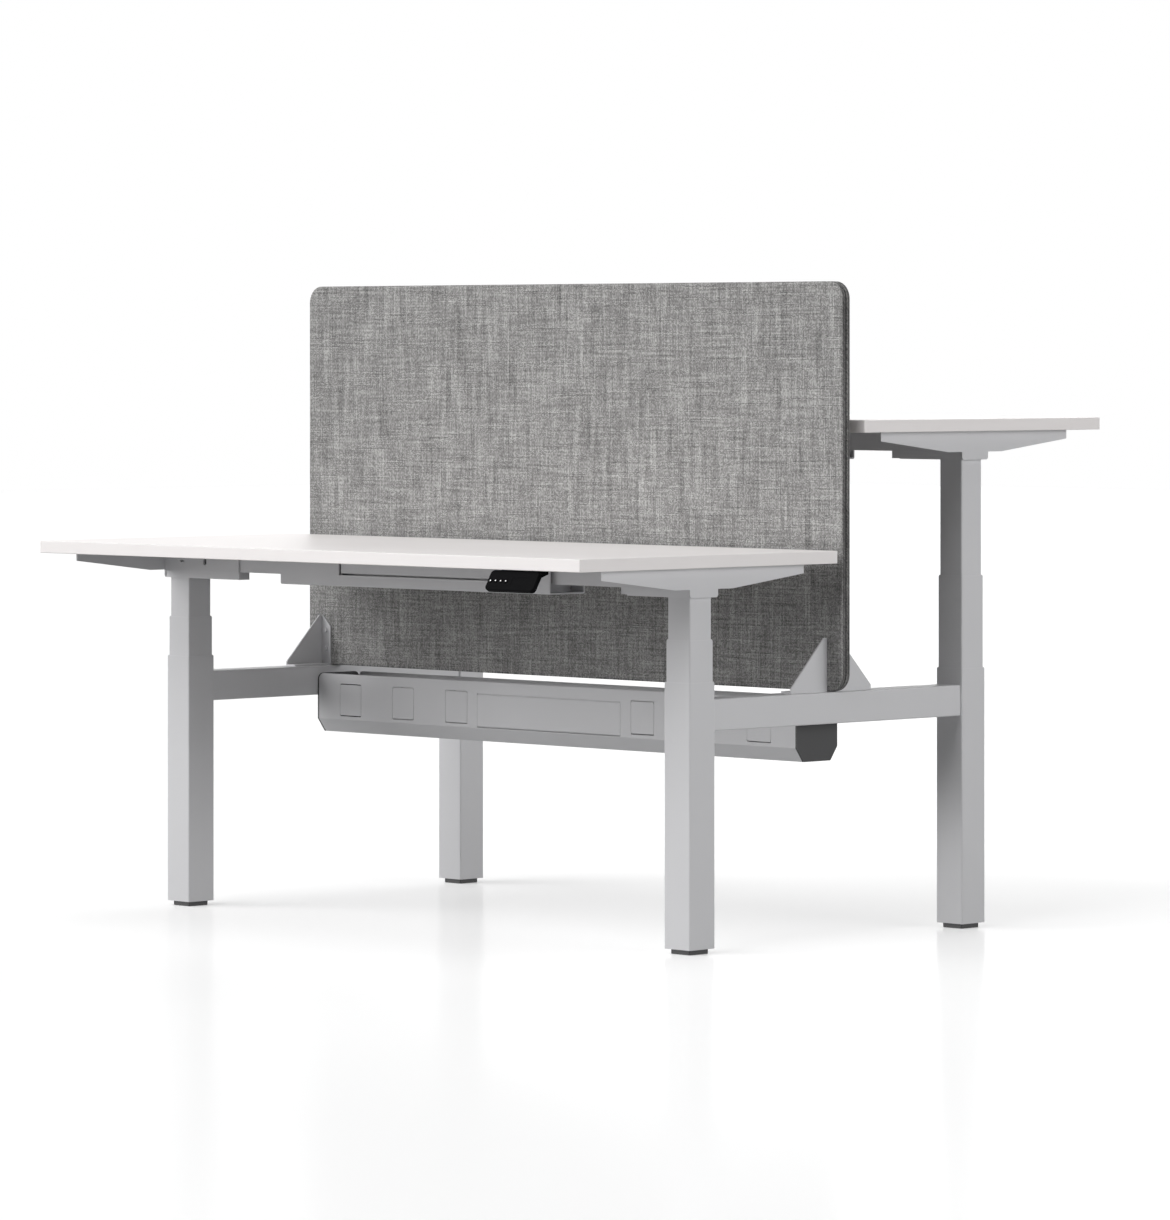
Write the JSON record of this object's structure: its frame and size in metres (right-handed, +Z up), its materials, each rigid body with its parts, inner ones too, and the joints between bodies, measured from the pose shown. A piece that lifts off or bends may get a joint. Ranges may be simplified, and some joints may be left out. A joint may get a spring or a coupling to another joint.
{
  "type": "sit-stand bench desk",
  "caption": "Back-to-back sit-stand bench: lifting white desktops on telescopic square legs, joined by side beams, a cable tray and a fabric screen.",
  "frame": {"origin": "on the floor, midway between the four legs", "axes": "+X along the desktops to the front user's right, +Y from the front user to the back user, +Z up"},
  "size_m": [1.6, 1.5342, 1.306],
  "materials": {
    "white_laminate": "white laminated board with matching edge",
    "silver_powder_coat": "fine silver-grey powder coat",
    "grey_fabric": "heather grey woven upholstery",
    "screen_board": "dark board between the pads",
    "black_moulding": "black moulded plastic",
    "silver_moulding": "silver-grey moulded plastic",
    "dark_moulding": "dark grey moulded plastic",
    "black_gloss_moulding": "smooth black plastic",
    "zinc_steel": "zinc-plated steel",
    "motor_can": "dark painted steel"
  },
  "bodies": {
    "base_frame": {"back_left_leg_tube": "silver_powder_coat", "back_right_leg_tube": "silver_powder_coat", "cable_tray": "silver_powder_coat", "foot_pads": "black_moulding", "frame_bolts": "zinc_steel", "front_left_leg_tube": "silver_powder_coat", "front_right_leg_tube": "silver_powder_coat", "left_screen_bracket": "silver_powder_coat", "left_side_beam": "silver_powder_coat", "leg_base_plates": "silver_powder_coat", "leg_guide_collars": "black_moulding", "right_screen_bracket": "silver_powder_coat", "right_side_beam": "silver_powder_coat", "screen_back_pad": "grey_fabric", "screen_core": "screen_board", "screen_front_pad": "grey_fabric", "tray_end_caps": "dark_moulding", "tray_socket_covers": "silver_powder_coat"},
    "tray_front_flap": {"tray_front_door": "silver_powder_coat"},
    "tray_back_flap": {"tray_back_door": "silver_powder_coat"},
    "front_top": {"front_desktop": "white_laminate", "front_side_arms": "silver_powder_coat", "front_end_rails": "silver_powder_coat", "front_drive_housings": "silver_moulding", "front_drive_motors": "motor_can", "front_inner_tubes": "silver_powder_coat", "front_middle_channel": "silver_powder_coat", "front_control_unit": "dark_moulding", "front_desk_screws": "zinc_steel", "front_handset_case": "black_gloss_moulding"},
    "front_middle": {"front_middle_tubes": "silver_powder_coat", "front_middle_collars": "black_moulding"},
    "front_left_drive_spindle": {"front_left_drive_screw": "zinc_steel"},
    "front_left_hollow_spindle": {"front_left_hollow_screw": "zinc_steel"},
    "front_right_drive_spindle": {"front_right_drive_screw": "zinc_steel"},
    "front_right_hollow_spindle": {"front_right_hollow_screw": "zinc_steel"},
    "front_key_1": {"front_handset_key_1": "black_gloss_moulding"},
    "front_key_2": {"front_handset_key_2": "black_gloss_moulding"},
    "front_key_3": {"front_handset_key_3": "black_gloss_moulding"},
    "front_key_4": {"front_handset_key_4": "black_gloss_moulding"},
    "back_top": {"back_desktop": "white_laminate", "back_side_arms": "silver_powder_coat", "back_end_rails": "silver_powder_coat", "back_drive_housings": "silver_moulding", "back_drive_motors": "motor_can", "back_inner_tubes": "silver_powder_coat", "back_middle_channel": "silver_powder_coat", "back_control_unit": "dark_moulding", "back_desk_screws": "zinc_steel", "back_handset_case": "black_gloss_moulding"},
    "back_middle": {"back_middle_tubes": "silver_powder_coat", "back_middle_collars": "black_moulding"},
    "back_left_drive_spindle": {"back_left_drive_screw": "zinc_steel"},
    "back_left_hollow_spindle": {"back_left_hollow_screw": "zinc_steel"},
    "back_right_drive_spindle": {"back_right_drive_screw": "zinc_steel"},
    "back_right_hollow_spindle": {"back_right_hollow_screw": "zinc_steel"},
    "back_key_1": {"back_handset_key_1": "black_gloss_moulding"},
    "back_key_2": {"back_handset_key_2": "black_gloss_moulding"},
    "back_key_3": {"back_handset_key_3": "black_gloss_moulding"},
    "back_key_4": {"back_handset_key_4": "black_gloss_moulding"}
  },
  "joints": [
    {"name": "tray_front_door_hinge", "type": "hinge", "parent": "base_frame", "child": "tray_front_flap", "pos_m": [0, -0.0545, 0.387], "axis": [1, 0, 0], "range_deg": [0, 90]},
    {"name": "tray_back_door_hinge", "type": "hinge", "parent": "base_frame", "child": "tray_back_flap", "pos_m": [0, 0.0545, 0.387], "axis": [-1, 0, 0], "range_deg": [0, 90]},
    {"name": "front_lift", "type": "slide", "parent": "base_frame", "child": "front_top", "axis": [0, 0, 1], "range_m": [-0.161, 0.489]},
    {"name": "front_middle_lift", "type": "slide", "parent": "base_frame", "child": "front_middle", "axis": [0, 0, 1], "range_m": [-0.07954, 0.24158]},
    {"name": "front_left_drive_turn", "type": "hinge", "parent": "front_top", "child": "front_left_drive_spindle", "pos_m": [-0.737, -0.392, 0.4], "axis": [0, 0, 1], "range_deg": [-2900, 8804]},
    {"name": "front_left_hollow_turn", "type": "hinge", "parent": "front_middle", "child": "front_left_hollow_spindle", "pos_m": [-0.737, -0.392, 0.4], "axis": [0, 0, 1], "range_deg": [-1433, 4350]},
    {"name": "front_right_drive_turn", "type": "hinge", "parent": "front_top", "child": "front_right_drive_spindle", "pos_m": [0.737, -0.392, 0.4], "axis": [0, 0, 1], "range_deg": [-2900, 8804]},
    {"name": "front_right_hollow_turn", "type": "hinge", "parent": "front_middle", "child": "front_right_hollow_spindle", "pos_m": [0.737, -0.392, 0.4], "axis": [0, 0, 1], "range_deg": [-1433, 4350]},
    {"name": "front_key_1_press", "type": "slide", "parent": "front_top", "child": "front_key_1", "axis": [0, 0.866, -0.5], "range_m": [0, 0.0008], "stiffness_N_per_m": 200},
    {"name": "front_key_2_press", "type": "slide", "parent": "front_top", "child": "front_key_2", "axis": [0, 0.866, -0.5], "range_m": [0, 0.0008], "stiffness_N_per_m": 200},
    {"name": "front_key_3_press", "type": "slide", "parent": "front_top", "child": "front_key_3", "axis": [0, 0.866, -0.5], "range_m": [0, 0.0008], "stiffness_N_per_m": 200},
    {"name": "front_key_4_press", "type": "slide", "parent": "front_top", "child": "front_key_4", "axis": [0, 0.866, -0.5], "range_m": [0, 0.0008], "stiffness_N_per_m": 200},
    {"name": "back_lift", "type": "slide", "parent": "base_frame", "child": "back_top", "axis": [0, 0, 1], "range_m": [-0.418, 0.232]},
    {"name": "back_middle_lift", "type": "slide", "parent": "base_frame", "child": "back_middle", "axis": [0, 0, 1], "range_m": [-0.18452, 0.10242]},
    {"name": "back_left_drive_turn", "type": "hinge", "parent": "back_top", "child": "back_left_drive_spindle", "pos_m": [-0.737, 0.392, 0.4], "axis": [0, 0, 1], "range_deg": [-7526, 4178]},
    {"name": "back_left_hollow_turn", "type": "hinge", "parent": "back_middle", "child": "back_left_hollow_spindle", "pos_m": [-0.737, 0.392, 0.4], "axis": [0, 0, 1], "range_deg": [-3323, 1845]},
    {"name": "back_right_drive_turn", "type": "hinge", "parent": "back_top", "child": "back_right_drive_spindle", "pos_m": [0.737, 0.392, 0.4], "axis": [0, 0, 1], "range_deg": [-7526, 4178]},
    {"name": "back_right_hollow_turn", "type": "hinge", "parent": "back_middle", "child": "back_right_hollow_spindle", "pos_m": [0.737, 0.392, 0.4], "axis": [0, 0, 1], "range_deg": [-3323, 1845]},
    {"name": "back_key_1_press", "type": "slide", "parent": "back_top", "child": "back_key_1", "axis": [0, -0.866, -0.5], "range_m": [0, 0.0008], "stiffness_N_per_m": 200},
    {"name": "back_key_2_press", "type": "slide", "parent": "back_top", "child": "back_key_2", "axis": [0, -0.866, -0.5], "range_m": [0, 0.0008], "stiffness_N_per_m": 200},
    {"name": "back_key_3_press", "type": "slide", "parent": "back_top", "child": "back_key_3", "axis": [0, -0.866, -0.5], "range_m": [0, 0.0008], "stiffness_N_per_m": 200},
    {"name": "back_key_4_press", "type": "slide", "parent": "back_top", "child": "back_key_4", "axis": [0, -0.866, -0.5], "range_m": [0, 0.0008], "stiffness_N_per_m": 200}
  ],
  "couplings": [
    {"joint": "front_middle_lift", "follows": "front_lift", "ratio": 0.494},
    {"joint": "front_left_drive_turn", "follows": "front_lift", "rad_per_m": 314.16},
    {"joint": "front_left_hollow_turn", "follows": "front_lift", "rad_per_m": 155.19},
    {"joint": "front_right_drive_turn", "follows": "front_lift", "rad_per_m": 314.16},
    {"joint": "front_right_hollow_turn", "follows": "front_lift", "rad_per_m": 155.19},
    {"joint": "back_middle_lift", "follows": "back_lift", "ratio": 0.4414},
    {"joint": "back_left_drive_turn", "follows": "back_lift", "rad_per_m": 314.16},
    {"joint": "back_left_hollow_turn", "follows": "back_lift", "rad_per_m": 138.67},
    {"joint": "back_right_drive_turn", "follows": "back_lift", "rad_per_m": 314.16},
    {"joint": "back_right_hollow_turn", "follows": "back_lift", "rad_per_m": 138.67}
  ]
}
